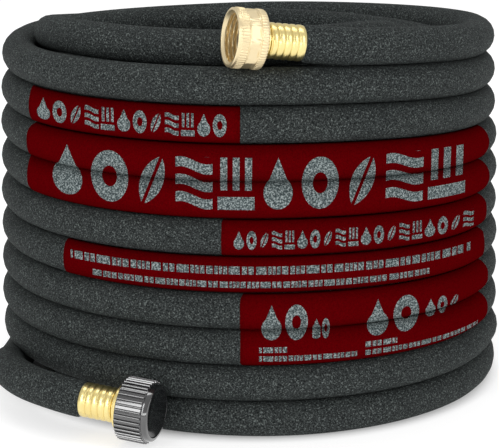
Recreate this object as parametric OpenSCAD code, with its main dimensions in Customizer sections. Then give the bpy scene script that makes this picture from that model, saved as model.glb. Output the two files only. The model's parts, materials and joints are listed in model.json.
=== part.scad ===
// Coiled soaker hose: a porous rubber hose wound into a standing coil, with a
// swivelling brass inlet, a capped brass outlet and printed film panels.
// The coil stands on Z = 0 and its axis is the Z axis. The front is towards -Y.

/* [Hose] */
// Outside diameter of the hose
hose_d = 19.5; // [19.4:0.1:19.6]
// Bore of the hose
hose_bore = 14; // [13:0.5:14]
// How far the lowest turn is pressed flat on the floor
floor_flat = 0.25; // [0.1:0.05:0.4]

/* [Coil] */
// Radius of the outer turns, at the middle of the hose
coil_r = 134; // [133:0.5:135]
// Radius of the inner turns, at the middle of the hose
inner_r = 114.5; // [114:0.5:115]
// Height of the middle of the highest inner turn
inner_top_z = 201.5; // [200:0.5:203]
// Rise from one outer turn to the next
turn_pitch = 19.4; // [19.3:0.1:19.5]
// Number of turns below the top one
lower_turns = 10; // [10:1:10]

/* [Fittings] */
// Place where the hose enters the inlet's ferrule
inlet_pos = [25.5, -132, 206.8];
// Compass direction in which the inlet points
inlet_az = 198; // [197:1:199]
// Upward tilt of the inlet
inlet_el = 6.5; // [6:0.5:7]
// Place where the hose enters the outlet's ferrule
outlet_pos = [-86, -139, 20.2];
// Compass direction in which the outlet points
outlet_az = -20; // [-21:1:-19]
// Upward tilt of the outlet
outlet_el = -4; // [-4.5:0.5:-3.5]
// Length of a crimped ferrule
ferrule_len = 18.5; // [18:0.5:19]
// Number of rings pressed into a ferrule
ferrule_rings = 5; // [4:1:5]
// Outside diameter of the swivel nut
nut_d = 30.6; // [30.6:0.2:31.4]
// Length of the swivel nut
nut_len = 16.5; // [16.5:0.5:18]
// Number of teeth in the nut's two knurled rims
knurl_teeth = 60; // [48:6:72]
// Outside diameter of the end cap over its ribs
cap_d = 33.5; // [33:0.5:33.5]
// Length of the ribbed part of the end cap
cap_rib_len = 15; // [14.5:0.5:15]
// Number of ribs on the end cap
cap_ribs = 36; // [24:2:40]

/* [Garden hose thread] */
// Distance between threads, 11.5 to the inch
thread_pitch = 2.209; // [2.209:0.001:2.209]
// Largest diameter of the outside thread
male_major_d = 27; // [26.9:0.1:27]
// Depth of the outside thread
male_depth = 1.4; // [1.3:0.05:1.4]
// Smallest diameter of the inside thread
female_minor_d = 24.38; // [24.38:0.01:24.5]
// Largest diameter of the inside thread
female_major_d = 27.24; // [27.2:0.02:27.4]

/* [Label film] */
// Thickness of the printed film
film_t = 0.2; // [0.15:0.05:0.3]
// Gap that the film keeps from the rubber
film_gap = 0.05; // [0.05:0.05:0.1]

/* [Hidden] */
$fn = 64;

rubber = [0.22, 0.24, 0.24];
brass = [0.85, 0.68, 0.3];
black = [0.08, 0.08, 0.09];
film = [0.45, 0.03, 0.05];

hose_r = hose_d / 2;
bore_r = hose_bore / 2;
floor_z = hose_r - floor_flat;
top_z = floor_z + lower_turns * turn_pitch;

// The top outer turn lies between these two compass directions, and slopes
// down into the next turn beyond them.
top_turn_from = -60;
top_turn_to = 70;

// Inside a ferrule the wall of the hose is squeezed between stem and shell.
end_overhang = 6;
stem_peak_r = bore_r + 0.1;
stem_root_r = bore_r - 0.35;
crimp_r = 8.45;
ferrule_in_r = 8.5;
ferrule_root_r = 8.85;
ferrule_peak_r = 9.2;
passage_r = 5.6;
ring_pitch = 3.6;
barb_pitch = 3.6;

// Stations along the inlet's axis, counted from the mouth of the ferrule.
collar_r = 8.1;
nut_back = ferrule_len + 3;
nut_front = nut_back + nut_len;
nut_back_wall = 1.8;
flange_back = nut_back + nut_back_wall + 0.3;
flange_front = flange_back + 1.6;
flange_r = 11.4;
disc_back = flange_front + 0.3;
disc_t = 1.2;
disc_r = 12;
disc_hole_r = 1.6;
seal_t = 2.8;
seal_r = 12.7;
seal_hole_r = 7.5;
seal_room_r = 13;
thread_back = disc_back + disc_t + seal_t + 0.2;
front_rim_len = 5.4;
back_rim_len = 3.6;
knurl_depth = 0.35;

// Stations along the outlet's axis, counted from the mouth of the ferrule.
flange_out_back = ferrule_len + 2.2;
flange_out_front = flange_out_back + 2.3;
flange_out_r = 12;
male_len = 10.8;
male_front = flange_out_front + male_len;
cap_back = flange_out_front + 0.5;
cap_bore_r = male_major_d / 2 + 0.4;
cap_seal_back = male_front + 0.1;
cap_floor = cap_seal_back + 3;
cap_rib_front = cap_back + cap_rib_len;
cap_front = cap_rib_front + 3;
cap_end_r = 15;
rib_depth = 1.1;

// Routes of the hose where it leaves the round turns. The first and last
// points of the end routes meet the straight hose ends.
inlet_route = [[-60, 134, 203.7], [-66, 133.9, 204.2], [-72, 133.8, 205.1]];
strand_route = [
    [256, 114.5, 201.5], [270, 113, 201.8], [284, 109.5, 202.6], [298, 104, 203], [312, 99, 202.2],
    [326, 95.5, 198.5], [340, 94, 189.8], [354, 94, 176.5], [370, 94, 158.5], [386, 94, 140],
    [402, 94, 122], [418, 94, 104], [434, 94, 85.5], [450, 94, 67], [466, 94, 49], [482, 94, 31.5],
    [498, 94, 17.8], [514, 94, 11.2], [530, 96.5, 9.8], [546, 102.5, 9.8], [562, 111, 9.8],
    [578, 120, 9.8], [594, 128, 9.8], [610, 133, 9.8], [626, 134, 9.8]
];
outlet_route = [
    [-133.5, 14, 9.8], [-134.5, -12, 9.9], [-136.5, -38, 10.8], [-137, -66, 14.2],
    [-132, -93, 18.2], [-120, -115, 21.2], [-104, -130, 21.8]
];

function level_z(level) = top_z - level * turn_pitch;
function polar(p) = [p[1] * cos(p[0]), p[1] * sin(p[0]), p[2]];
function unit(v) = v / norm(v);
function heading(az, el) = [cos(el) * cos(az), cos(el) * sin(az), sin(el)];

// A tube along a route that is nowhere upright: rings of points joined by faces.
function tangent(path, i) =
    unit(path[min(i + 1, len(path) - 1)] - path[max(i - 1, 0)]);
function tube_ring(path, i, r, sides) =
    let (t = tangent(path, i), side = unit(cross(t, [0, 0, 1])), up = cross(side, t))
    [for (k = [0 : sides - 1])
        path[i] + r * (cos(360 * k / sides) * side + sin(360 * k / sides) * up)];

module tube(path, r, sides = 12) {
    rings = len(path);
    points = [for (i = [0 : rings - 1]) each tube_ring(path, i, r, sides)];
    walls = [for (i = [0 : rings - 2], k = [0 : sides - 1])
        let (a = i * sides + k, b = i * sides + (k + 1) % sides)
        [a, b, b + sides, a + sides]];
    first = [for (k = [0 : sides - 1]) sides - 1 - k];
    last = [for (k = [0 : sides - 1]) (rings - 1) * sides + k];
    polyhedron(points, concat(walls, [first, last]), convexity = 6);
}

// Puts a fitting's own +Z axis along its heading.
module along(pos, az, el) {
    translate(pos) rotate([0, 90 - el, az]) children();
}

// A round bar with straight teeth, as a flat outline with a tooth at each step.
module toothed_outline(r, depth, teeth) {
    polygon([for (i = [0 : teeth - 1], j = [0 : 3])
        let (a = 360 * (i + [0, 0.2, 0.5, 0.7][j]) / teeth, rr = r - [0, 0, 1, 1][j] * depth)
        [rr * cos(a), rr * sin(a)]]);
}

module hose_coil() {
    color(rubber) union() {
        rotate_extrude() intersection() {
            translate([inner_r - hose_r, 0]) square([coil_r - inner_r + hose_d, top_z + hose_r]);
            union() {
                for (level = [1 : lower_turns]) translate([coil_r, level_z(level)]) circle(hose_r);
                for (z = [floor_z, inner_top_z]) translate([inner_r, z]) circle(hose_r);
                translate([inner_r, floor_z]) square([coil_r - inner_r, level_z(1) - floor_z]);
                translate([inner_r - hose_r, floor_z]) square([hose_d, inner_top_z - floor_z]);
            }
        }
        rotate([0, 0, top_turn_from])
            rotate_extrude(angle = top_turn_to - top_turn_from) translate([coil_r, top_z])
                circle(hose_r);
    }
}

module hose_inlet_run() {
    end = inlet_pos - end_overhang * heading(inlet_az, inlet_el);
    color(rubber) tube(concat([for (p = inlet_route) polar(p)], [end]), hose_r);
}

module hose_inner_run() {
    color(rubber) tube([for (p = strand_route) polar(p)], hose_r);
}

module hose_outlet_run() {
    end = outlet_pos - end_overhang * heading(outlet_az, outlet_el);
    color(rubber) tube(concat(outlet_route, [end]), hose_r);
}

// The last straight piece of hose, necked down where the ferrule grips it.
module hose_end() {
    color(rubber) rotate_extrude() polygon([
        [bore_r, -end_overhang], [hose_r, -end_overhang], [hose_r, -1], [crimp_r, 0],
        [crimp_r, ferrule_len - 1.2], [stem_peak_r, ferrule_len - 1.2], [stem_peak_r, 0.5],
        [bore_r, 0.2]
    ]);
}

module hose_inlet_end() {
    along(inlet_pos, inlet_az, inlet_el) hose_end();
}

module hose_outlet_end() {
    along(outlet_pos, outlet_az, outlet_el) hose_end();
}

// A thin brass shell with round rings pressed along it and a turned-in front edge.
module ferrule() {
    color(brass) rotate_extrude() difference() {
        union() {
            translate([ferrule_in_r, 0]) square([ferrule_root_r - ferrule_in_r, ferrule_len]);
            for (i = [0 : ferrule_rings - 1])
                translate([ferrule_peak_r - 1.5, 2 + i * ring_pitch]) circle(1.5);
            translate([stem_peak_r, ferrule_len - 0.9]) square([ferrule_root_r - stem_peak_r, 0.9]);
        }
        translate([0, -3]) square([ferrule_in_r, ferrule_len + 3 - 0.9]);
        translate([0, -3]) square([ferrule_peak_r + 1, 3]);
    }
}

module inlet_ferrule() {
    along(inlet_pos, inlet_az, inlet_el) ferrule();
}

module outlet_ferrule() {
    along(outlet_pos, outlet_az, outlet_el) ferrule();
}

// Saw-tooth outline of a stem, from the bore out to the barbs.
function stem_points() = concat(
    [[passage_r, 0.6], [stem_root_r, 0.6]],
    [for (i = [0 : 3], p = [[stem_root_r, 1.2], [stem_peak_r, 1.2 + barb_pitch]])
        [p[0], p[1] + i * barb_pitch]],
    [[stem_root_r, 1.2 + 4 * barb_pitch], [stem_root_r, ferrule_len]]
);

module inlet_tailpiece() {
    color(brass) along(inlet_pos, inlet_az, inlet_el) rotate_extrude() polygon(concat(
        stem_points(),
        [[collar_r, ferrule_len + 0.1], [collar_r, flange_back], [flange_r, flange_back],
         [flange_r, flange_front], [passage_r, flange_front]]
    ));
}

// The inside of the nut is one turned outline: back wall, seal room and thread.
module swivel_nut() {
    groove_count = floor((nut_front - thread_back - 0.8) / thread_pitch);
    minor_r = female_minor_d / 2;
    major_r = female_major_d / 2;
    rim_root_r = nut_d / 2 - knurl_depth;
    color(brass) along(inlet_pos, inlet_az, inlet_el) difference() {
        union() {
            translate([0, 0, nut_back]) linear_extrude(back_rim_len)
                toothed_outline(nut_d / 2, knurl_depth, knurl_teeth);
            translate([0, 0, nut_back + back_rim_len - 0.2])
                cylinder(h = nut_len - back_rim_len - front_rim_len + 0.4, r = nut_d / 2, $fn = 8);
            translate([0, 0, nut_front - front_rim_len]) linear_extrude(front_rim_len - 0.8)
                toothed_outline(nut_d / 2, knurl_depth, knurl_teeth);
            translate([0, 0, nut_front - 1]) cylinder(h = 1, r = rim_root_r);
        }
        translate([0, 0, nut_back - 1]) cylinder(h = nut_len, r = collar_r + 0.3);
        translate([0, 0, nut_back + nut_back_wall])
            cylinder(h = thread_back - nut_back - nut_back_wall, r = seal_room_r);
        translate([0, 0, thread_back - 0.1])
            cylinder(h = nut_front - thread_back + 1, r = minor_r);
        for (i = [0 : groove_count - 1])
            translate([0, 0, nut_front - 1.6 - i * thread_pitch]) rotate_extrude()
                polygon([[minor_r - 1, -0.95], [minor_r, -0.95], [major_r, -0.15],
                         [major_r, 0.15], [minor_r, 0.95], [minor_r - 1, 0.95]]);
    }
}

module flow_restrictor() {
    color("white") along(inlet_pos, inlet_az, inlet_el) translate([0, 0, disc_back])
        difference() {
            cylinder(h = disc_t, r = disc_r);
            translate([0, 0, -1]) cylinder(h = disc_t + 2, r = disc_hole_r);
        }
}

module seal_ring(back, thickness, hole_r) {
    color(black) translate([0, 0, back]) difference() {
        cylinder(h = thickness, r = seal_r);
        translate([0, 0, -1]) cylinder(h = thickness + 2, r = hole_r);
    }
}

module inlet_washer() {
    along(inlet_pos, inlet_az, inlet_el) seal_ring(disc_back + disc_t, seal_t, seal_hole_r);
}

module outlet_coupling() {
    root_r = male_major_d / 2 - male_depth;
    ridge_count = floor((male_len - 2.6) / thread_pitch);
    color(brass) along(outlet_pos, outlet_az, outlet_el) union() {
        rotate_extrude() polygon(concat(
            stem_points(),
            [[collar_r, ferrule_len + 0.1], [collar_r, flange_out_back - 0.8],
             [flange_out_r, flange_out_back], [flange_out_r, flange_out_front],
             [root_r, flange_out_front], [root_r, male_front - 0.5],
             [root_r - 0.5, male_front], [passage_r + 1, male_front],
             [passage_r, male_front - 1]]
        ));
        for (i = [0 : ridge_count - 1])
            translate([0, 0, male_front - 1.6 - i * thread_pitch]) rotate_extrude()
                polygon([[root_r - 1, -0.95], [root_r, -0.95], [root_r + male_depth, -0.15],
                         [root_r + male_depth, 0.15], [root_r, 0.95], [root_r - 1, 0.95]]);
    }
}

module cap_washer() {
    along(outlet_pos, outlet_az, outlet_el) seal_ring(cap_seal_back, 2.8, 6.5);
}

module end_cap() {
    color(black) along(outlet_pos, outlet_az, outlet_el) difference() {
        union() {
            translate([0, 0, cap_back]) linear_extrude(cap_rib_len)
                toothed_outline(cap_d / 2, rib_depth, cap_ribs);
            rotate_extrude() polygon([
                [0, cap_back + 1], [cap_end_r, cap_back + 1], [cap_end_r, cap_front - 1.2],
                [cap_end_r - 1.2, cap_front], [0, cap_front]
            ]);
        }
        translate([0, 0, cap_back - 1]) cylinder(h = cap_floor - cap_back + 1, r = cap_bore_r);
    }
}

// A film panel wraps over some turns and dips into the grooves between them.
module label_panel(first, last, from, to) {
    low = level_z(last) - 8.4;
    high = level_z(first) + 8.4;
    color(film) rotate([0, 0, from]) rotate_extrude(angle = to - from) intersection() {
        translate([coil_r + 1, low]) square([hose_d, high - low]);
        difference() {
            for (level = [first : last])
                translate([coil_r, level_z(level)]) circle(hose_r + film_gap + film_t);
            for (level = [first - 1 : last + 1])
                translate([coil_r, level_z(level)]) circle(hose_r + film_gap);
        }
    }
}

module label_upper() {
    label_panel(2, 2, -145.5, -91.7);
}

module label_main() {
    label_panel(3, 4, -146.8, -21);
}

module label_middle() {
    label_panel(5, 5, -95.7, -23.5);
}

module label_strip() {
    label_panel(6, 6, -133.3, -25.5);
}

module label_lower() {
    label_panel(7, 8, -92, -22.5);
}

hose_coil();
hose_inlet_run();
hose_inner_run();
hose_outlet_run();
hose_inlet_end();
hose_outlet_end();
swivel_nut();
inlet_tailpiece();
inlet_ferrule();
flow_restrictor();
inlet_washer();
outlet_coupling();
outlet_ferrule();
cap_washer();
end_cap();
label_upper();
label_main();
label_middle();
label_strip();
label_lower();
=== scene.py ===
"""Looks of the coiled soaker hose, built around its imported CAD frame.

One porous rubber hose is wound into a standing coil of two layers. It starts in the swivelling brass
inlet, goes down the outer layer, up the inner layer, down inside the coil and once round the floor to
the capped brass outlet. Lengths in the tables below are in millimetres and angles in degrees.
"""

import json
import math

import bpy
import numpy as np
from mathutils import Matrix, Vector


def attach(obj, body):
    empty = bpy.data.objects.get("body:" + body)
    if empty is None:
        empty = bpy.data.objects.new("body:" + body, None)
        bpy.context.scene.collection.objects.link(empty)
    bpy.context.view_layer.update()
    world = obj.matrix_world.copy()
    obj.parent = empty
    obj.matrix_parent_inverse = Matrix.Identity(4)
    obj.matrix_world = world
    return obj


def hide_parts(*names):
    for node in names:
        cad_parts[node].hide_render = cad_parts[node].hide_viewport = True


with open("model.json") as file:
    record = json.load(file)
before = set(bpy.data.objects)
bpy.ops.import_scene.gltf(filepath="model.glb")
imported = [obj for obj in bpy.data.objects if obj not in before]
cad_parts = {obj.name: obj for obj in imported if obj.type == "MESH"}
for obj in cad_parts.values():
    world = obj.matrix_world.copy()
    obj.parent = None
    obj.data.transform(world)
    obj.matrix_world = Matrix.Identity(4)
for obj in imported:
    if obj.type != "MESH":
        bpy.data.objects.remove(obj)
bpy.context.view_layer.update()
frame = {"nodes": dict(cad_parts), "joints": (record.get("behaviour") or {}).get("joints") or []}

MM = 0.001
JOINTS = {joint["name"]: joint for joint in frame["joints"]}


# ---------------------------------------------------------------- dimensions
HOSE_R = 9.75
BORE_R = 7.0
FLOOR_Z = 9.5

# The camera looks from in front, a little from above. The print is spaced as it looks from there.
CAMERA_RIGHT = -1.1
CAMERA_HEIGHT = 318.3
VIEW_DISTANCE = 1027.0
VIEW_SLOPE = 0.23
CAMERA_PITCH = 77.09
CAMERA_ROLL = -0.3
CAMERA_LENS = 128.4

# The outer layer has ten levels above the floor turn. It is a little narrower at the sides near its
# top and wider at its foot, and it leans to the right on its way down.
OUTER_R = 134.0
FLOOR_TURN_R = 136.5
SIDE_INWARD = 2.6
FOOT_OUTWARD = 2.0
LEAN = 2.4
TOP_LEVEL = 10

# The levels are further apart at the left than at the right and the back. The wider pitch opens and
# closes between these two pairs of directions.
PITCH_LEFT = 19.52
PITCH_RIGHT = 18.85
PITCH_OPENS = (95, 180)
PITCH_CLOSES = (280, 355)

# The top level sags a little round the right side, and each level below it sags less.
TOP_SAG = 2.2
SAG_FROM = -25
SAG_SPAN = 140
SAG_FADE = 0.6

# The outer layer steps down one level round the back: over a long way at the top of the coil, and
# over a shorter way at its foot, where the hose turns in to the inner layer just before.
STEP_SPAN = 225.0
LOW_STEP_LATER = 48.0
LOW_STEP_SHORTER = 135.0

# Where the outer layer starts, ends and steps in, and where the inner layer ends, as angles along
# the hose. The inner layer has a hump that grows towards its top, where its end climbs.
OUTER_START = -48.0
OUTER_END = 3245.0
INNER_R = 113.4
INNER_START = 3315.0
INNER_TURNS = 8
INNER_LOW_Z = 28.4
INNER_END = 150.0
INNER_END_Z = 191.5
INNER_HUMP = 5.4
HUMP_RISE = 85

# Stretches outside the round turns. The first three give direction, radius and height:
# from the inlet on to the first turn; the inner layer's end, climbing; and the strand that comes
# down inside the coil, passes out under the inner layer and lies down as the floor turn. The outlet's
# route gives x, y and z.
INLET_ROUTE = [(-72, 133.8, 205.1), (-66, 133.9, 204.2), (-60, 134, 203.7)]
CLIMB_ROUTE = [
    (165, 114.3, 193.6), (180, 114.4, 196.4), (195, 114.5, 199.2), (210, 114.5, 201),
    (225, 114.5, 201.6), (240, 114.5, 201.6),
]
STRAND_ROUTE = [
    (256, 114.5, 201.5), (270, 113, 201.8), (284, 109.5, 202.6), (298, 104, 203), (312, 99, 202.2),
    (326, 95.5, 198.5), (340, 94, 189.8), (354, 94, 176.5), (370, 94, 158.5), (386, 94, 140),
    (402, 94, 122), (418, 94, 104), (434, 94, 85.5), (450, 94, 67), (466, 94, 49), (482, 94, 31.5),
    (498, 94, 17.8), (514, 94, 11.2), (530, 96.5, 9.8), (546, 102.5, 9.8), (562, 111, 9.8),
    (578, 120, 9.8), (594, 128.5, 9.8), (610, 134, 9.8), (626, 136.2, 9.8),
]
OUTLET_ROUTE = [
    (-133.3, 14, 9.8), (-134, -12, 9.9), (-135.2, -38, 11), (-134.8, -66, 16.6),
    (-130, -93, 20.6), (-118.8, -115, 22), (-104, -130, 21.8),
]
FLOOR_TURN_START = 641
FLOOR_TURN_END = 886
TURN_STEP = 15
RINGS_PER_POINT = 6

# Fittings, as stations along their own axis from the mouth of the ferrule. The hose comes straight
# in from LEAD_IN and ends at HOSE_END, and its wall is squeezed over NECK_LEN at the mouth.
# FLATS_TURNED is how far the nut's flats are turned from facing the camera, in radians.
LEAD_IN = -6
HOSE_END = 17.3
NECK_LEN = 1.2
FERRULE_LEN = 18.5
CRIMP_R = 8.45
STEM_PEAK_R = 7.1
STEM_ROOT_R = 6.65
PASSAGE_R = 5.6
COLLAR_R = 8.1
RING_PITCH = 3.6
THREAD_PITCH = 2.209
NUT_R = 15.3
NUT_BACK = 21.5
NUT_FRONT = 38.0
NUT_BORE_R = 12.19
NUT_THREAD_DEPTH = 1.4
KNURL_TEETH = 60
KNURL_DEPTH = 0.24
NUT_FLATS = 8
FLATS_TURNED = 0.33
MALE_ROOT_R = 12.1
MALE_THREAD_HEIGHT = 1.4
MALE_FRONT = 33.8
CAP_BACK = 23.5
CAP_RIB_FRONT = 38.5
CAP_FRONT = 41.5
CAP_R = 16.75
CAP_RIBS = 36
CAP_RIB_DEPTH = 1.15
CAP_BORE_R = 13.9
CAP_THREAD_DEPTH = 1.35

# The film wraps each turn up and down by these angles, and STRAIGHT_CUT is how far its ends are cut
# to look straight from in front, from 0 to 1. The print's chart has CHART_SCALE millimetres a unit.
FILM_T = 0.2
FILM_GAP = 0.05
GROOVE_WRAP = 77
TOP_WRAP = 76
FOOT_WRAP = 70
STRAIGHT_CUT = 0.6
FILM_ROWS = 15
FILM_COLUMN = 1.5
CHART_SCALE = 100.0

# The studio floor glows outside this radius, in metres, so that it doesn't light up the coil's inside.
FLOOR_GLOW = 0.66
GLOW_FROM = 0.13
GLOW_EDGE = 0.02


# ---------------------------------------------------------------- small maths
def unit(v):
    v = np.asarray(v, float)
    return v / np.linalg.norm(v)


def ease(t):
    """0 before 0, 1 after 1, and a smooth step between."""
    t = min(1.0, max(0.0, t))
    return t * t * (3 - 2 * t)


def polar(degrees, radius, z):
    a = math.radians(degrees)
    return np.array([radius * math.cos(a), radius * math.sin(a), z])


class Fitting:
    """A fitting's own axis: station s along it, radius r and angle a round it."""

    def __init__(self, joint):
        self.origin = np.array(JOINTS[joint]["pos_m"]) / MM
        self.axis = unit(JOINTS[joint]["axis"])
        self.side = unit(np.cross(self.axis, (0, 0, 1)))
        self.up = np.cross(self.side, self.axis)

    def at(self, s, r=0.0, a=0.0):
        return self.origin + s * self.axis + r * (math.cos(a) * self.side - math.sin(a) * self.up)


INLET = Fitting("nut_swivel")
OUTLET = Fitting("cap_turn")


# ---------------------------------------------------------------- camera, floor and light
def make_camera():
    camera = bpy.data.objects.new("camera", bpy.data.cameras.new("camera"))
    bpy.context.scene.collection.objects.link(camera)
    camera.data.sensor_width = 36
    camera.data.lens = CAMERA_LENS
    camera.location = (CAMERA_RIGHT * MM, -VIEW_DISTANCE * MM, CAMERA_HEIGHT * MM)
    camera.rotation_euler = (math.radians(CAMERA_PITCH), math.radians(CAMERA_ROLL), 0)
    bpy.context.scene.camera = camera


def make_light(name, place, aim, size, power):
    light = bpy.data.objects.new(name, bpy.data.lights.new(name, "AREA"))
    bpy.context.scene.collection.objects.link(light)
    light.data.shape = "RECTANGLE"
    light.data.size, light.data.size_y = size
    light.data.energy = power
    light.location = place
    light.rotation_euler = (Vector(aim) - Vector(place)).to_track_quat("-Z", "Y").to_euler()


def make_studio():
    scene = bpy.context.scene
    scene.view_settings.view_transform = "Standard"
    scene.world = bpy.data.worlds.new("studio")
    scene.world.use_nodes = True
    background = scene.world.node_tree.nodes["Background"]
    background.inputs["Color"].default_value = (1, 1, 1, 1)
    background.inputs["Strength"].default_value = 0.62
    middle = (0, 0, 0.1)
    make_light("left_strip", (-1.1, -1.5, 0.9), middle, (0.35, 1.5), 9)
    make_light("right_strip", (1.3, -1.3, 0.8), middle, (0.3, 1.4), 6)
    make_light("low_front", (-0.3, -2.2, 0.35), middle, (1.8, 0.3), 6)
    make_light("top", (0, 0.1, 1.9), middle, (1.6, 0.5), 8)
    half = 4.0
    corners = [(-half, -half, 0), (half, -half, 0), (half, half, 0), (-half, half, 0)]
    floor = new_object("studio_floor", corners, [(0, 1, 2, 3)])
    floor.data.materials.append(floor_material())


# ---------------------------------------------------------------- meshes
def new_object(name, points, faces, sharp=None):
    mesh = bpy.data.meshes.new(name)
    mesh.from_pydata([tuple(map(float, p)) for p in points], [], faces)
    mesh.polygons.foreach_set("use_smooth", [True] * len(mesh.polygons))
    if sharp is not None:
        mesh.set_sharp_from_angle(angle=math.radians(sharp))
    mesh.update()
    piece = bpy.data.objects.new(name, mesh)
    bpy.context.scene.collection.objects.link(piece)
    return piece


def spline(points, steps):
    """A smooth line through the points, with the given number of steps between each two."""
    p = np.array(points)
    p = np.vstack([2 * p[0] - p[1], p, 2 * p[-1] - p[-2]])
    out = []
    for i in range(1, len(p) - 2):
        a, b, c, d = p[i - 1], p[i], p[i + 1], p[i + 2]
        for k in range(steps):
            t = k / steps
            out.append(
                0.5 * (2 * b + (c - a) * t + (2 * a - 5 * b + 4 * c - d) * t**2
                       + (3 * b - a - 3 * c + d) * t**3)
            )
    out.append(p[-2])
    return np.array(out)


def tube_rings(line, radii, sides):
    ahead = np.vstack([line[1:], line[-1:]])
    behind = np.vstack([line[:1], line[:-1]])
    along = ahead - behind
    along /= np.linalg.norm(along, axis=1)[:, None]
    side = np.cross(along, (0, 0, 1))
    side /= np.linalg.norm(side, axis=1)[:, None]
    up = np.cross(side, along)
    angles = 2 * np.pi * np.arange(sides) / sides
    round_it = (
        np.cos(angles)[None, :, None] * side[:, None, :]
        + np.sin(angles)[None, :, None] * up[:, None, :]
    )
    return line[:, None, :] + np.asarray(radii)[:, None, None] * round_it


def hollow_tube(name, line, outer, inner, sides):
    """An open pipe with a wall: the outside has twice as many sides as the bore."""
    outside = tube_rings(line, outer, sides)
    bore = tube_rings(line, inner, sides // 2)
    outside[..., 2] = np.maximum(outside[..., 2], 0)
    rings, half = len(line), sides // 2
    points = np.vstack([outside.reshape(-1, 3), bore.reshape(-1, 3)]) * MM
    first_bore = rings * sides
    faces = []
    for i in range(rings - 1):
        for k in range(sides):
            a, b = i * sides + k, i * sides + (k + 1) % sides
            faces.append((a, b, b + sides, a + sides))
        for k in range(half):
            a, b = first_bore + i * half + k, first_bore + i * half + (k + 1) % half
            faces.append((a, a + half, b + half, b))
    for ring, turned_round in ((0, False), (rings - 1, True)):
        for k in range(half):
            o, c = ring * sides, first_bore + ring * half
            face = (
                o + 2 * k, c + k, c + (k + 1) % half, o + (2 * k + 2) % sides, o + 2 * k + 1
            )
            faces.append(face[::-1] if turned_round else face)
    return new_object(name, points, faces)


def turned(name, fitting, outline, segments, shape=None, sharp=38):
    """A turned piece: a closed outline of (radius, station) points goes round the fitting's axis.
    An outline that starts and ends at radius 0 is a solid end. shape(index, r, s, angle) gives a
    point's radius where the piece isn't round."""
    solid = outline[0][0] == 0 and outline[-1][0] == 0
    inner = outline[1:-1] if solid else outline
    points, faces, rows = [], [], len(inner)
    for index, (r, s) in enumerate(inner):
        for j in range(segments):
            a = 2 * math.pi * j / segments
            radius = r if shape is None else shape(index, r, s, a)
            points.append(fitting.at(s, radius, a) * MM)
    for i in range(rows - 1 if solid else rows):
        for j in range(segments):
            k = (j + 1) % segments
            m = (i + 1) % rows
            faces.append(
                (i * segments + j, i * segments + k, m * segments + k, m * segments + j)
            )
    if solid:
        for (r, s), row, back in ((outline[0], 0, True), (outline[-1], rows - 1, False)):
            points.append(fitting.at(s) * MM)
            tip = len(points) - 1
            for j in range(segments):
                k = (j + 1) % segments
                face = (tip, row * segments + k, row * segments + j)
                faces.append(face if back else face[::-1])
    piece = new_object(name, points, faces, sharp)
    outward(piece)
    return piece


def outward(piece):
    """Turns every face of a closed piece outward."""
    mesh = piece.data
    volume = 0.0
    for polygon in mesh.polygons:
        corners = [mesh.vertices[v].co for v in polygon.vertices]
        for b, c in zip(corners[1:-1], corners[2:]):
            volume += corners[0].dot(b.cross(c))
    if volume < 0:
        mesh.flip_normals()


def fillet(outline, radius, steps=3):
    """Rounds each corner of a closed outline that turns by more than 25 degrees."""
    out = []
    for i, here in enumerate(outline):
        here = np.array(here, float)
        back = np.array(outline[i - 1], float) - here
        on = np.array(outline[(i + 1) % len(outline)], float) - here
        turn = math.acos(max(-1, min(1, -unit(back).dot(unit(on)))))
        if turn < math.radians(25):
            out.append(tuple(here))
            continue
        cut = min(radius * math.tan(turn / 2), 0.4 * np.linalg.norm(back), 0.4 * np.linalg.norm(on))
        start, end = here + unit(back) * cut, here + unit(on) * cut
        for k in range(steps + 1):
            t = k / steps
            point = (1 - t) ** 2 * start + 2 * t * (1 - t) * here + t**2 * end
            out.append(tuple(point))
    return out


def stations(low, high, step):
    return np.linspace(low, high, max(2, round(abs(high - low) / step) + 1))


def thread_height(s, angle, shift=0.0):
    """How high a right-hand thread stands at a station and angle, from 0 to 1."""
    phase = (s / THREAD_PITCH - angle / (2 * math.pi) + shift) % 1
    return min(1.0, max(0.0, (0.43 - abs(phase - 0.5)) / 0.28))


# ---------------------------------------------------------------- shader building
class Field:
    """A number that varies over a surface. Arithmetic on it makes the nodes that work it out."""

    def __init__(self, tree, socket):
        self.tree, self.socket = tree, socket

    def _math(self, operation, *others):
        node = self.tree.nodes.new("ShaderNodeMath")
        node.operation = operation
        for slot, value in zip(node.inputs, (self, *others)):
            if isinstance(value, Field):
                self.tree.links.new(value.socket, slot)
            else:
                slot.default_value = value
        return Field(self.tree, node.outputs[0])

    def __add__(self, other):
        return self._math("ADD", other)

    def __sub__(self, other):
        return self._math("SUBTRACT", other)

    def __mul__(self, other):
        return self._math("MULTIPLY", other)

    def __truediv__(self, other):
        return self._math("DIVIDE", other)

    def __abs__(self):
        return self._math("ABSOLUTE")

    def above(self, other):
        return self._math("GREATER_THAN", other)

    def below(self, other):
        return self._math("LESS_THAN", other)

    def fraction(self):
        return self._math("FRACT")

    def floor(self):
        return self._math("FLOOR")

    def sine(self):
        return self._math("SINE")

    def root(self):
        return self._math("SQRT")

    def least(self, other):
        return self._math("MINIMUM", other)

    def most(self, other):
        return self._math("MAXIMUM", other)

    def equals(self, value):
        return abs(self - value).below(0.5)


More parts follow.
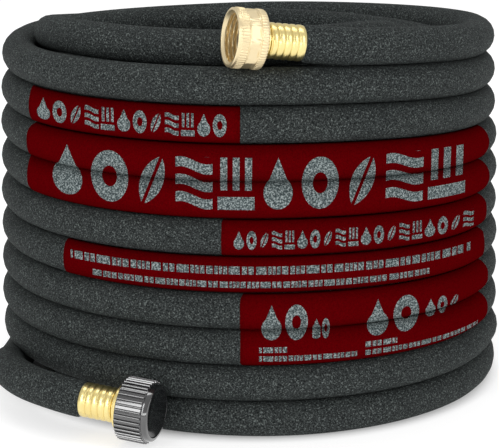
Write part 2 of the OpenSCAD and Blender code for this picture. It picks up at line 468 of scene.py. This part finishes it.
class Shader:
    """A material with a Principled shader and short ways to add nodes to it."""

    def __init__(self, name):
        self.material = bpy.data.materials.new(name)
        self.material.use_nodes = True
        self.tree = self.material.node_tree
        self.main = self.tree.nodes["Principled BSDF"]
        self.place = self.tree.nodes.new("ShaderNodeTexCoord").outputs["Object"]

    def set(self, **values):
        for key, value in values.items():
            slot = self.main.inputs[key.replace("_", " ")]
            slot.default_value = value
        return self

    def link(self, source, name):
        self.tree.links.new(source, self.main.inputs[name])

    def noise(self, scale, detail=2.0, rough=0.5, place=None):
        node = self.tree.nodes.new("ShaderNodeTexNoise")
        node.inputs["Scale"].default_value = scale
        node.inputs["Detail"].default_value = detail
        node.inputs["Roughness"].default_value = rough
        self.tree.links.new(place or self.place, node.inputs["Vector"])
        return Field(self.tree, node.outputs["Fac"])

    def cells(self, scale):
        node = self.tree.nodes.new("ShaderNodeTexVoronoi")
        node.inputs["Scale"].default_value = scale
        self.tree.links.new(self.place, node.inputs["Vector"])
        return Field(self.tree, node.outputs["Distance"])

    def ramp(self, field, *stops):
        node = self.tree.nodes.new("ShaderNodeValToRGB")
        while len(node.color_ramp.elements) < len(stops):
            node.color_ramp.elements.new(1.0)
        for element, (position, colour) in zip(node.color_ramp.elements, stops):
            element.position = position
            element.color = (*colour, 1)
        self.tree.links.new(field.socket, node.inputs["Fac"])
        return node.outputs["Color"]

    def blend(self, mode, amount, low, high):
        node = self.tree.nodes.new("ShaderNodeMix")
        node.data_type = "RGBA"
        node.blend_type = mode
        factor, _, _, _, _, _, first, second = node.inputs[:8]
        if isinstance(amount, Field):
            self.tree.links.new(amount.socket, factor)
        else:
            factor.default_value = amount
        for slot, value in ((first, low), (second, high)):
            if isinstance(value, tuple):
                slot.default_value = (*value, 1)
            else:
                self.tree.links.new(value, slot)
        return node.outputs[2]

    def mix(self, amount, low, high):
        return self.blend("MIX", amount, low, high)

    def multiply(self, low, high):
        return self.blend("MULTIPLY", 1.0, low, high)

    def bump(self, field, strength, distance):
        node = self.tree.nodes.new("ShaderNodeBump")
        node.inputs["Strength"].default_value = strength
        node.inputs["Distance"].default_value = distance
        self.tree.links.new(field.socket, node.inputs["Height"])
        self.link(node.outputs["Normal"], "Normal")
        return self

    def roughness(self, field, low, high):
        self.link((field * (high - low) + low).socket, "Roughness")
        return self


def floor_material():
    """A pale floor that glows a little, except in and under the coil."""
    shader = Shader("floor_pale")
    tone = shader.noise(6, 3)
    colour = shader.ramp(tone, (0.3, (0.49, 0.49, 0.49)), (0.7, (0.51, 0.51, 0.51)))
    split = shader.tree.nodes.new("ShaderNodeSeparateXYZ")
    shader.tree.links.new(shader.place, split.inputs[0])
    x, y = Field(shader.tree, split.outputs[0]), Field(shader.tree, split.outputs[1])
    outside = ((x * x + y * y).root() - GLOW_FROM) / GLOW_EDGE
    shader.link(colour, "Base Color")
    shader.link((outside.most(0.0).least(1.0) * FLOOR_GLOW).socket, "Emission Strength")
    shader.set(Roughness=0.7, Emission_Color=(1, 1, 1, 1))
    return shader.material


def crumb_bump(shader):
    """The height of rubber crumb pressed together, with open pores between."""
    crumbs = shader.cells(1150)
    grains = shader.noise(1900, 3, 0.7)
    patches = shader.noise(320, 2)
    return grains * 0.6 + crumbs * 0.5 + patches * 0.5


def hose_material():
    shader = Shader("porous_rubber")
    grain = shader.noise(1300, 3, 0.8)
    fleck = shader.noise(1100, 2, 0.6)
    tone = shader.noise(28, 3, 0.6)
    dark = shader.ramp(grain, (0.4, (0.004, 0.005, 0.005)), (0.62, (0.05, 0.057, 0.056)))
    light = (fleck - 0.56) * 10.0
    flecked = shader.mix(light.most(0.0).least(1.0), dark, (0.12, 0.138, 0.132))
    shade = shader.ramp(tone, (0.3, (0.84, 0.85, 0.86)), (0.7, (1.0, 1.0, 1.0)))
    shader.link(shader.multiply(flecked, shade), "Base Color")
    shader.roughness(grain, 0.78, 0.95)
    shader.set(Specular_IOR_Level=0.12)
    shader.bump(crumb_bump(shader), 0.55, 0.0006)
    return shader.material


def brass_material(name, darker, lighter, polish):
    shader = Shader(name)
    cloud = shader.noise(90, 4, 0.6)
    scratch = shader.noise(2400, 2, 0.6)
    shader.link(shader.ramp(cloud, (0.3, darker), (0.7, lighter)), "Base Color")
    shader.roughness(cloud, *polish)
    shader.set(Metallic=1.0)
    shader.bump(scratch, 0.05, 0.0001)
    return shader.material


def cap_material():
    shader = Shader("cap_black_plastic")
    cloud = shader.noise(160, 3, 0.6)
    fine = shader.noise(2600, 2, 0.5)
    colour = shader.ramp(cloud, (0.3, (0.003, 0.003, 0.0035)), (0.7, (0.006, 0.006, 0.007)))
    shader.link(colour, "Base Color")
    shader.roughness(cloud, 0.12, 0.2)
    shader.set(Specular_IOR_Level=1.0, Coat_Weight=1.0, Coat_IOR=1.7, Coat_Roughness=0.06)
    shader.bump(fine, 0.05, 0.0001)
    return shader.material


def seal_material():
    shader = Shader("seal_black_rubber")
    cloud = shader.noise(240, 3, 0.6)
    colour = shader.ramp(cloud, (0.3, (0.014, 0.014, 0.015)), (0.7, (0.03, 0.03, 0.03)))
    shader.link(colour, "Base Color")
    shader.roughness(cloud, 0.55, 0.75)
    shader.bump(shader.noise(1800, 2), 0.2, 0.0002)
    return shader.material


def plastic_material():
    shader = Shader("restrictor_plastic")
    cloud = shader.noise(300, 3, 0.6)
    colour = shader.ramp(cloud, (0.3, (0.68, 0.68, 0.65)), (0.7, (0.8, 0.8, 0.77)))
    shader.link(colour, "Base Color")
    shader.roughness(cloud, 0.35, 0.5)
    shader.bump(shader.noise(2000, 2), 0.08, 0.0001)
    return shader.material


# ---------------------------------------------------------------- printed marks
# A place on a panel is u to the right of its left end and v above its middle, in millimetres as seen
# from in front. A mark is drawn round x = y = 0 and reaches w to each side and h up and down. Every
# function here gives 1 where there is ink and 0 elsewhere.
def within(field, low, high):
    return field.above(low) * field.below(high)


def ring_mark(x, y, w, h):
    away = ((x * (h / w)) * (x * (h / w)) + y * y).root()
    return abs(away - 0.7 * h).below(0.3 * h)


def drop_mark(x, y, w, h):
    low = y + 0.34 * h
    bulb = (x * x + low * low).root().below(0.64 * h)
    cone = (abs(x) - (y * -1.0 + h) * 0.46).below(0.0) * within(y, -0.1 * h, h)
    return bulb.most(cone) * abs(x).below(w)


def wave_mark(x, y, w, h):
    rows = 3
    bands = ((y + (x * (2.2 / w)).sine() * (0.14 * h)) * (rows / (2 * h)) + 0.5 * rows).fraction()
    return within(bands, 0.2, 0.78) * abs(x).below(w) * abs(y).below(h)


def leaf_mark(x, y, w, h):
    across, along = (x - y * 0.45) * 0.91, (y + x * 0.45) * 0.91
    reach = 1.35 * h
    offset = reach - 0.6 * w
    left = ((across + offset) * (across + offset) + along * along).root().below(reach)
    right = ((across - offset) * (across - offset) + along * along).root().below(reach)
    vein = abs(across).above(0.072 * h)
    return left * right * vein


def fork_mark(x, y, w, h):
    bars = (x * (3 / (2 * w)) + 1.5).fraction()
    tines = within(bars, 0.22, 0.78) * y.above(-0.25 * h)
    return (tines.most(y.below(-0.5 * h))) * abs(x).below(w) * abs(y).below(h)


MARKS = (drop_mark, ring_mark, leaf_mark, wave_mark, fork_mark)


def mark_row(u, v, left, cell, count, middle, height, fill=0.84):
    """A row of marks, one in each cell, that takes the five shapes in turn."""
    place = (u - left) / cell
    index = place.floor()
    x = (place.fraction() - 0.5) * cell
    y = v - middle
    w, h = fill * cell / 2, height / 2
    shape = index - (index / len(MARKS)).floor() * len(MARKS)
    inked = None
    for number, mark in enumerate(MARKS):
        here = mark(x, y, w, h) * shape.equals(number)
        inked = here if inked is None else inked.most(here)
    return inked * within(index, -0.5, count - 0.5)


def dash_line(u, v, left, right, middle, height, dash):
    """A line of short blocks of uneven length."""
    uneven = (u * (1.7 / dash)).sine() * 0.3 + (u * (0.61 / dash)).sine() * 0.5
    broken = (u / dash + uneven).fraction().below(0.76)
    return broken * within(u, left, right) * abs(v - middle).below(height / 2)


def print_upper(u, v):
    return mark_row(u, v, 3.4, 9.35, 12, 0.3, 11.8, 0.86)


def print_main(u, v):
    return mark_row(u, v, 10.6, 24.8, 10, -0.3, 27, 0.88)


def print_middle(u, v):
    return mark_row(u, v, 6.5, 7.55, 19, -0.3, 9.8, 0.8)


def print_strip(u, v):
    bold = dash_line(u, v, 3.6, 241, 3.4, 4.2, 4.2)
    return bold.most(dash_line(u, v, 16.5, 217, -4.2, 3.4, 3.4))


def print_lower(u, v):
    left = mark_row(u, v, 11.8, 15, 2, 5, 19, 0.9).most(mark_row(u, v, 43.5, 5.6, 2, 1, 11))
    right = mark_row(u, v, 74.5, 17, 2, 4, 20, 0.9).most(mark_row(u, v, 111, 7, 3, 4, 11))
    inked = left.most(right)
    for start, end, middle in ((12, 29, -9.5), (12, 71, -14.3), (76, 95, -9.8), (76, 143, -14.4)):
        inked = inked.most(dash_line(u, v, start, end, middle, 3.0, 3.2))
    return inked


def film_material(name, artwork):
    """Dark red film over rubber crumb, with flecked grey marks printed on it."""
    shader = Shader(name)
    chart = shader.tree.nodes.new("ShaderNodeUVMap")
    chart.uv_map = "print"
    split = shader.tree.nodes.new("ShaderNodeSeparateXYZ")
    shader.tree.links.new(chart.outputs["UV"], split.inputs[0])
    u = Field(shader.tree, split.outputs[0]) * CHART_SCALE
    v = Field(shader.tree, split.outputs[1]) * CHART_SCALE
    grain = shader.noise(1500, 4, 0.75)
    fleck = shader.noise(1250, 2, 0.6)
    red = shader.ramp(grain, (0.34, (0.052, 0.0002, 0.0008)), (0.68, (0.11, 0.0003, 0.0015)))
    grey = shader.ramp(fleck, (0.42, (0.04, 0.052, 0.055)), (0.52, (0.11, 0.135, 0.135)),
                       (0.62, (0.3, 0.34, 0.34)))
    shader.link(shader.mix(artwork(u, v), red, grey), "Base Color")
    shader.roughness(grain, 0.7, 0.9)
    shader.set(Specular_IOR_Level=0.0)
    shader.bump(crumb_bump(shader), 0.4, 0.0004)
    return shader.material


# ---------------------------------------------------------------- hose
def ease_between(value, span):
    return ease((value - span[0]) / (span[1] - span[0]))


def pitch_at(degrees):
    """The turns are pressed a little closer on the right and at the back than on the left."""
    direction = degrees % 360
    wide = ease_between(direction, PITCH_OPENS) * (1 - ease_between(direction, PITCH_CLOSES))
    return PITCH_RIGHT + (PITCH_LEFT - PITCH_RIGHT) * wide


def outer_turn(degrees):
    """The middle of the hose in the outer layer, at an angle counted on from the first turn."""
    turns, part = divmod(degrees / 360, 1)
    low = min(1.0, max(0.0, turns / (TOP_LEVEL - 2))) ** 3
    step = ease((part * 360 - LOW_STEP_LATER * low) / (STEP_SPAN - LOW_STEP_SHORTER * low))
    level = max(1.0, TOP_LEVEL - turns - step)
    depth = 1 - level / TOP_LEVEL
    side = math.cos(math.radians(degrees)) ** 2 * (1 - ease(depth / 0.4))
    radius = OUTER_R - SIDE_INWARD * side + FOOT_OUTWARD * ease((depth - 0.3) / 0.6)
    sway = 0.2 * math.sin(math.radians(1.37 * degrees)) + 0.12 * math.sin(math.radians(3.1 * degrees))
    place = polar(degrees, radius + sway, FLOOR_Z + level * pitch_at(degrees))
    place[0] += LEAN * (depth - 0.55)
    turn, past = divmod(degrees - SAG_FROM, 360)
    if turn >= 0 and past < SAG_SPAN:
        place[2] -= TOP_SAG * SAG_FADE**turn * math.sin(math.pi * past / SAG_SPAN) ** 2
    return place


def inner_layer():
    first, last = INNER_START, INNER_START - INNER_START % 360 + INNER_END + 360 * INNER_TURNS
    for degrees in stations(first, last, TURN_STEP):
        share = (degrees - first) / (last - first)
        past = (degrees - INNER_END) % 360
        hump = share * min(ease(past / HUMP_RISE), (360 - past) / (360 - HUMP_RISE))
        height = INNER_LOW_Z + share * (INNER_END_Z - INNER_LOW_Z) + INNER_HUMP * hump
        yield polar(degrees, INNER_R, height)


def hose_points():
    """The points that the middle of the hose goes through, from the inlet to the outlet."""
    points = [INLET.at(s) for s in (HOSE_END, 0, LEAD_IN)]
    points += [polar(*p) for p in INLET_ROUTE]
    points += [outer_turn(d) for d in np.arange(OUTER_START, OUTER_END, TURN_STEP)]
    foot_r = OUTER_R + FOOT_OUTWARD
    for d in stations(OUTER_END, INNER_START, TURN_STEP)[1:-1]:
        share = ease_between(d, (OUTER_END, INNER_START))
        points.append(polar(d, foot_r + share * (INNER_R - foot_r), outer_turn(d)[2]))
    points += inner_layer()
    points += [polar(*p) for p in CLIMB_ROUTE + STRAND_ROUTE]
    floor_turn = range(FLOOR_TURN_START, FLOOR_TURN_END, TURN_STEP)
    points += [polar(d, FLOOR_TURN_R, FLOOR_Z) for d in floor_turn]
    points += [np.array(p, float) for p in OUTLET_ROUTE]
    points += [OUTLET.at(s) for s in (LEAD_IN, 0, HOSE_END)]
    return points


def neck(line):
    """The hose's outside and bore radius along its line: the wall is squeezed inside both ferrules."""
    radii = np.full(len(line), HOSE_R)
    bores = np.full(len(line), BORE_R)
    near = 3 * RINGS_PER_POINT
    for fitting, rings in ((INLET, range(near)), (OUTLET, range(len(line) - near, len(line)))):
        for ring in rings:
            station = (line[ring] - fitting.origin) @ fitting.axis
            share = min(1.0, max(0.0, station / NECK_LEN + 1))
            radii[ring] += share * (CRIMP_R - HOSE_R)
            bores[ring] += share * (STEM_PEAK_R - BORE_R)
    return radii, bores


def make_hose():
    line = spline(hose_points(), RINGS_PER_POINT)
    radii, bores = neck(line)
    hose = hollow_tube("hose", line, radii, bores, 20)
    hose.data.materials.append(hose_material())
    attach(hose, "root")
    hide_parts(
        "hose_coil", "hose_inlet_run", "hose_inner_run", "hose_outlet_run",
        "hose_inlet_end", "hose_outlet_end",
    )
    return hose, line


# ---------------------------------------------------------------- film panels
def seen_from_front(x, y):
    """How far right of the middle a place looks from in front: the print is spaced so."""
    return x * VIEW_DISTANCE / (VIEW_DISTANCE + y)


def direction_seen_at(right, radius):
    """The direction at which a place at this radius looks this far right of the middle."""
    tilt = math.atan2(right, VIEW_DISTANCE)
    share = right * math.cos(tilt) / radius
    return math.degrees(math.asin(max(-0.97, min(0.97, share))) - tilt) - 90


def cut_end(direction, wrap, inset):
    """Where a panel's row of film ends: a cut that looks nearly straight from in front."""
    crest = OUTER_R + HOSE_R
    radius = crest - HOSE_R * (1 - math.cos(math.radians(wrap)))
    x, y, _ = polar(direction, crest, 0)
    straight = direction_seen_at(seen_from_front(x, y) - inset, radius)
    return direction + STRAIGHT_CUT * (straight - direction)


def panel_surface(first, last, start, end, corner):
    """A panel's points, row by row from its top, the print's place at each, and a row's length."""
    rows = []
    for level in range(first, last + 1):
        top = TOP_WRAP if level == first else GROOVE_WRAP
        foot = FOOT_WRAP if level == last else GROOVE_WRAP
        rows += [(level, a) for a in np.linspace(top, -foot, FILM_ROWS)]
    columns = int(abs(end - start) / FILM_COLUMN) + 1
    reach = HOSE_R + FILM_GAP + FILM_T
    middle = (first + last) / 2
    half_height = (last - first) / 2 * PITCH_LEFT + reach * math.sin(math.radians(FOOT_WRAP))
    left = seen_from_front(*polar(start, OUTER_R + HOSE_R, 0)[:2])
    points, charts = [], []
    for level, a in rows:
        out, up = reach * math.cos(math.radians(a)), reach * math.sin(math.radians(a))
        height = (middle - level) * PITCH_LEFT + up
        short = corner - (half_height - abs(height))
        inset = corner - math.sqrt(max(0.0, corner**2 - max(0.0, short) ** 2))
        for d in np.linspace(cut_end(start, a, -inset), cut_end(end, a, inset), columns):
            place = outer_turn(d + 360 * level) + polar(d, out, up)
            points.append(place * MM)
            lower = VIEW_SLOPE * (out - 0.75 * reach) * math.cos(math.radians(d + 90))
            right = seen_from_front(*place[:2]) - left
            charts.append((right / CHART_SCALE, (height - lower) / CHART_SCALE))
    return points, charts, columns


def film_panel(name, first, last, start, end, corner, artwork):
    """Film that wraps over the turns first to last and dips into the grooves between them. It goes
    from direction start to direction end, and its corners are rounded."""
    points, charts, columns = panel_surface(first, last, start, end, corner)
    faces = [
        (i, i + columns, i + columns + 1, i + 1)
        for i in range(len(points) - columns) if (i + 1) % columns
    ]
    panel = new_object(name, points, faces)
    chart = panel.data.uv_layers.new(name="print")
    for loop in panel.data.loops:
        chart.data[loop.index].uv = charts[loop.vertex_index]
    panel.data.materials.append(film_material(name + "_print", artwork))
    thick = panel.modifiers.new("thickness", "SOLIDIFY")
    thick.thickness = FILM_T * MM
    thick.offset = -1
    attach(panel, "root")
    middle_column = np.array(points[columns // 2::columns])
    return panel


def make_panels():
    """Each row: the node, its first and last turn, where it starts and ends, its corners, its print."""
    panels = (
        ("label_upper", 2, 2, -145.5, -91.7, 0.5, print_upper),
        ("label_main", 3, 4, -146.8, -21.0, 6.0, print_main),
        ("label_middle", 5, 5, -95.7, -23.5, 1.5, print_middle),
        ("label_strip", 6, 6, -133.3, -25.5, 2.0, print_strip),
        ("label_lower", 7, 8, -92.0, -22.5, 3.5, print_lower),
    )
    for node, first, last, start, end, corner, artwork in panels:
        panel = film_panel(node + "_film", first, last, start, end, corner, artwork)
        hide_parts(node)


# ---------------------------------------------------------------- fittings
def ferrule_outline():
    """A thin shell: five round rings outside, a plain bore, and a front edge turned in."""
    outer = []
    for s in stations(0.9, FERRULE_LEN - 0.5, 0.28):
        offset = (s - 2 + RING_PITCH / 2) % RING_PITCH
        valley = min(offset, RING_PITCH - offset)
        outer.append((9.2 - 0.55 * math.exp(-((valley / 0.62) ** 2)), s))
    front = [(8.75, FERRULE_LEN - 0.12), (8.3, FERRULE_LEN), (STEM_PEAK_R, FERRULE_LEN)]
    inside = [(STEM_PEAK_R, FERRULE_LEN - 0.9), (8.5, FERRULE_LEN - 0.95), (8.5, 0.25)]
    return outer + front + inside + [(8.6, 0.0), (8.85, 0.1), (9.02, 0.45)]


def stem_outline():
    points = [(PASSAGE_R, 0.6), (STEM_ROOT_R, 0.6)]
    for i in range(4):
        points += [(STEM_ROOT_R, 1.2 + RING_PITCH * i), (STEM_PEAK_R, 1.2 + RING_PITCH * (i + 1))]
    return points + [(STEM_ROOT_R, 1.2 + 4 * RING_PITCH), (STEM_ROOT_R, FERRULE_LEN + 0.1)]


def tailpiece_outline():
    flange_back, flange_front = 23.6, 25.2
    return fillet(
        stem_outline()
        + [(COLLAR_R, FERRULE_LEN + 0.1), (COLLAR_R, flange_back), (11.4, flange_back),
           (11.4, flange_front), (PASSAGE_R, flange_front)],
        0.3,
    )


def tooth(angle, count, top=0.42, slope=0.16):
    """1 on a tooth's top and 0 between the teeth."""
    away = abs((angle * count / (2 * math.pi)) % 1 - 0.5)
    return ease(1 - (away - top / 2) / slope)


def rib(angle, count, half_width=0.23):
    """How high a round-topped rib stands, from 0 between the ribs to 1 on a rib's top."""
    away = abs((angle * count / (2 * math.pi)) % 1 - 0.5)
    return math.sqrt(max(0.0, 1 - (away / half_width) ** 2))


def make_nut():
    """The nut's outside has two knurled rims and an eight-sided band; its inside is threaded."""
    back_rim = NUT_BACK + 4.0
    front_rim = NUT_FRONT - 5.6
    outside = [
        (8.4, NUT_BACK), (13.9, NUT_BACK), (14.9, NUT_BACK + 0.5), (NUT_R, NUT_BACK + 1.1),
        (NUT_R, back_rim), (14.75, back_rim + 0.35), (14.75, back_rim + 0.8), (NUT_R, back_rim + 1.2),
        (NUT_R, front_rim - 1.2), (14.75, front_rim - 0.8), (14.75, front_rim - 0.35),
        (NUT_R, front_rim), (NUT_R, NUT_FRONT - 2.1), (NUT_R - 0.35, NUT_FRONT - 1.8),
        (NUT_R - 0.3, NUT_FRONT - 0.5), (NUT_R - 0.8, NUT_FRONT), (13.7, NUT_FRONT),
        (12.6, NUT_FRONT - 1.1),
    ]
    thread = [(NUT_BORE_R, s) for s in stations(NUT_FRONT - 1.3, NUT_FRONT - 8.0, 0.2)]
    seat = [(NUT_BORE_R, NUT_FRONT - 8.3), (13.0, NUT_FRONT - 8.4), (13.0, 23.4), (8.4, 23.3)]

    def shape(index, r, s, angle):
        if index >= len(outside):
            if r != NUT_BORE_R:
                return r
            run_out = ease((NUT_FRONT - 0.9 - s) / 0.8) * ease((s - NUT_FRONT + 8.2) / 0.8)
            return r + NUT_THREAD_DEPTH * (1 - thread_height(s, angle)) * run_out
        if r < NUT_R:
            return r
        if back_rim + 1 < s < front_rim - 1:
            corner = math.pi / NUT_FLATS
            off = (angle - FLATS_TURNED + corner) % (2 * corner) - corner
            return min(NUT_R - 0.2, NUT_R * math.cos(corner) / math.cos(off))
        return r - KNURL_DEPTH * (1 - tooth(angle, KNURL_TEETH))

    nut = turned("swivel_nut_turned", INLET, outside + thread + seat, 6 * KNURL_TEETH, shape, 32)
    nut.data.materials.append(NUT_BRASS)
    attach(nut, "inlet_nut")
    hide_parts("swivel_nut")


def turned_coupling():
    """The outlet's stem, cone and flange, with an outside thread that the cap screws on to."""
    body = fillet(
        stem_outline()
        + [(COLLAR_R, FERRULE_LEN + 0.1), (COLLAR_R, 19.6), (10.6, 20.6), (12.0, 20.7), (12.0, 23.0),
           (MALE_ROOT_R, 23.0)],
        0.25,
    )
    thread = [(MALE_ROOT_R, s) for s in stations(23.4, MALE_FRONT - 0.7, 0.2)]
    front = [
        (MALE_ROOT_R - 0.6, MALE_FRONT), (PASSAGE_R + 1, MALE_FRONT), (PASSAGE_R, MALE_FRONT - 1)
    ]

    def shape(index, r, s, angle):
        if not len(body) <= index < len(body) + len(thread):
            return r
        run_out = ease((s - 23.8) / 1.2) * ease((33.2 - s) / 1.2)
        return r + MALE_THREAD_HEIGHT * thread_height(s, angle) * run_out

    return turned("outlet_coupling_turned", OUTLET, body + thread + front, 120, shape)


def make_stems_and_ferrules():
    tail = turned("inlet_tailpiece_turned", INLET, tailpiece_outline(), 96)
    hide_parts("inlet_tailpiece")
    inlet_ferrule = turned("inlet_ferrule_pressed", INLET, ferrule_outline(), 128)
    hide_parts("inlet_ferrule")
    outlet_ferrule = turned("outlet_ferrule_pressed", OUTLET, ferrule_outline(), 128)
    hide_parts("outlet_ferrule")
    coupling = turned_coupling()
    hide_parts("outlet_coupling")
    for piece in (tail, inlet_ferrule, outlet_ferrule, coupling):
        piece.data.materials.append(BRASS)
        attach(piece, "root")
    return outlet_ferrule, coupling


def make_cap():
    """A moulded cap: raised straight ribs, a smooth rim in front, and a threaded bore."""
    outside = [
        (14.3, CAP_BACK), (15.5, CAP_BACK), (15.95, CAP_BACK + 0.25), (CAP_R, CAP_BACK + 0.5),
        (CAP_R, CAP_BACK + 1.1), (CAP_R, CAP_RIB_FRONT - 1.0), (CAP_R, CAP_RIB_FRONT - 0.3),
        (15.5, CAP_RIB_FRONT), (15.15, CAP_RIB_FRONT + 0.1), (15.1, CAP_FRONT - 1.3),
        (14.75, CAP_FRONT - 0.45), (14.1, CAP_FRONT - 0.05), (12.9, CAP_FRONT), (12.2, CAP_FRONT - 0.4),
        (4.0, CAP_FRONT - 0.45), (0, CAP_FRONT - 0.45),
    ]
    thread = [(CAP_BORE_R, s) for s in stations(35.2, CAP_BACK + 1.0, 0.2)]
    inside = [(0, 36.9), (13.6, 36.9), (CAP_BORE_R, 36.6), (CAP_BORE_R, 35.6)]
    outline = inside + thread + [(CAP_BORE_R, CAP_BACK + 0.6)] + outside
    first_out = len(inside) + len(thread)

    def shape(index, r, s, angle):
        if r == CAP_R:
            return r - CAP_RIB_DEPTH * (1 - rib(angle, CAP_RIBS))
        if index >= first_out or r != CAP_BORE_R:
            return r
        run_out = ease((s - CAP_BACK - 0.9) / 0.9) * ease((35.3 - s) / 0.9)
        return r - CAP_THREAD_DEPTH * (1 - thread_height(s, angle)) * run_out

    cap = turned("end_cap_moulded", OUTLET, outline, 16 * CAP_RIBS, shape, 32)
    cap.data.materials.append(cap_material())
    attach(cap, "outlet_cap")
    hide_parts("end_cap")
    return cap


def finish_cad_nodes():
    """The washers and the disc keep their CAD shape and get materials."""
    seal = seal_material()
    for node, material in (
        ("cap_washer", seal), ("inlet_washer", seal), ("flow_restrictor", plastic_material())
    ):
        mesh = frame["nodes"][node].data
        mesh.materials.clear()
        mesh.materials.append(material)


# ---------------------------------------------------------------- building
make_camera()
hose, hose_line = make_hose()
NUT_BRASS = brass_material("pale_brass", (0.84, 0.69, 0.42), (0.89, 0.75, 0.48), (0.36, 0.44))
BRASS = brass_material("yellow_brass", (0.86, 0.68, 0.27), (0.94, 0.79, 0.36), (0.25, 0.34))
outlet_ferrule, outlet_coupling = make_stems_and_ferrules()
make_nut()
outlet_cap = make_cap()
make_panels()
finish_cad_nodes()
make_studio()
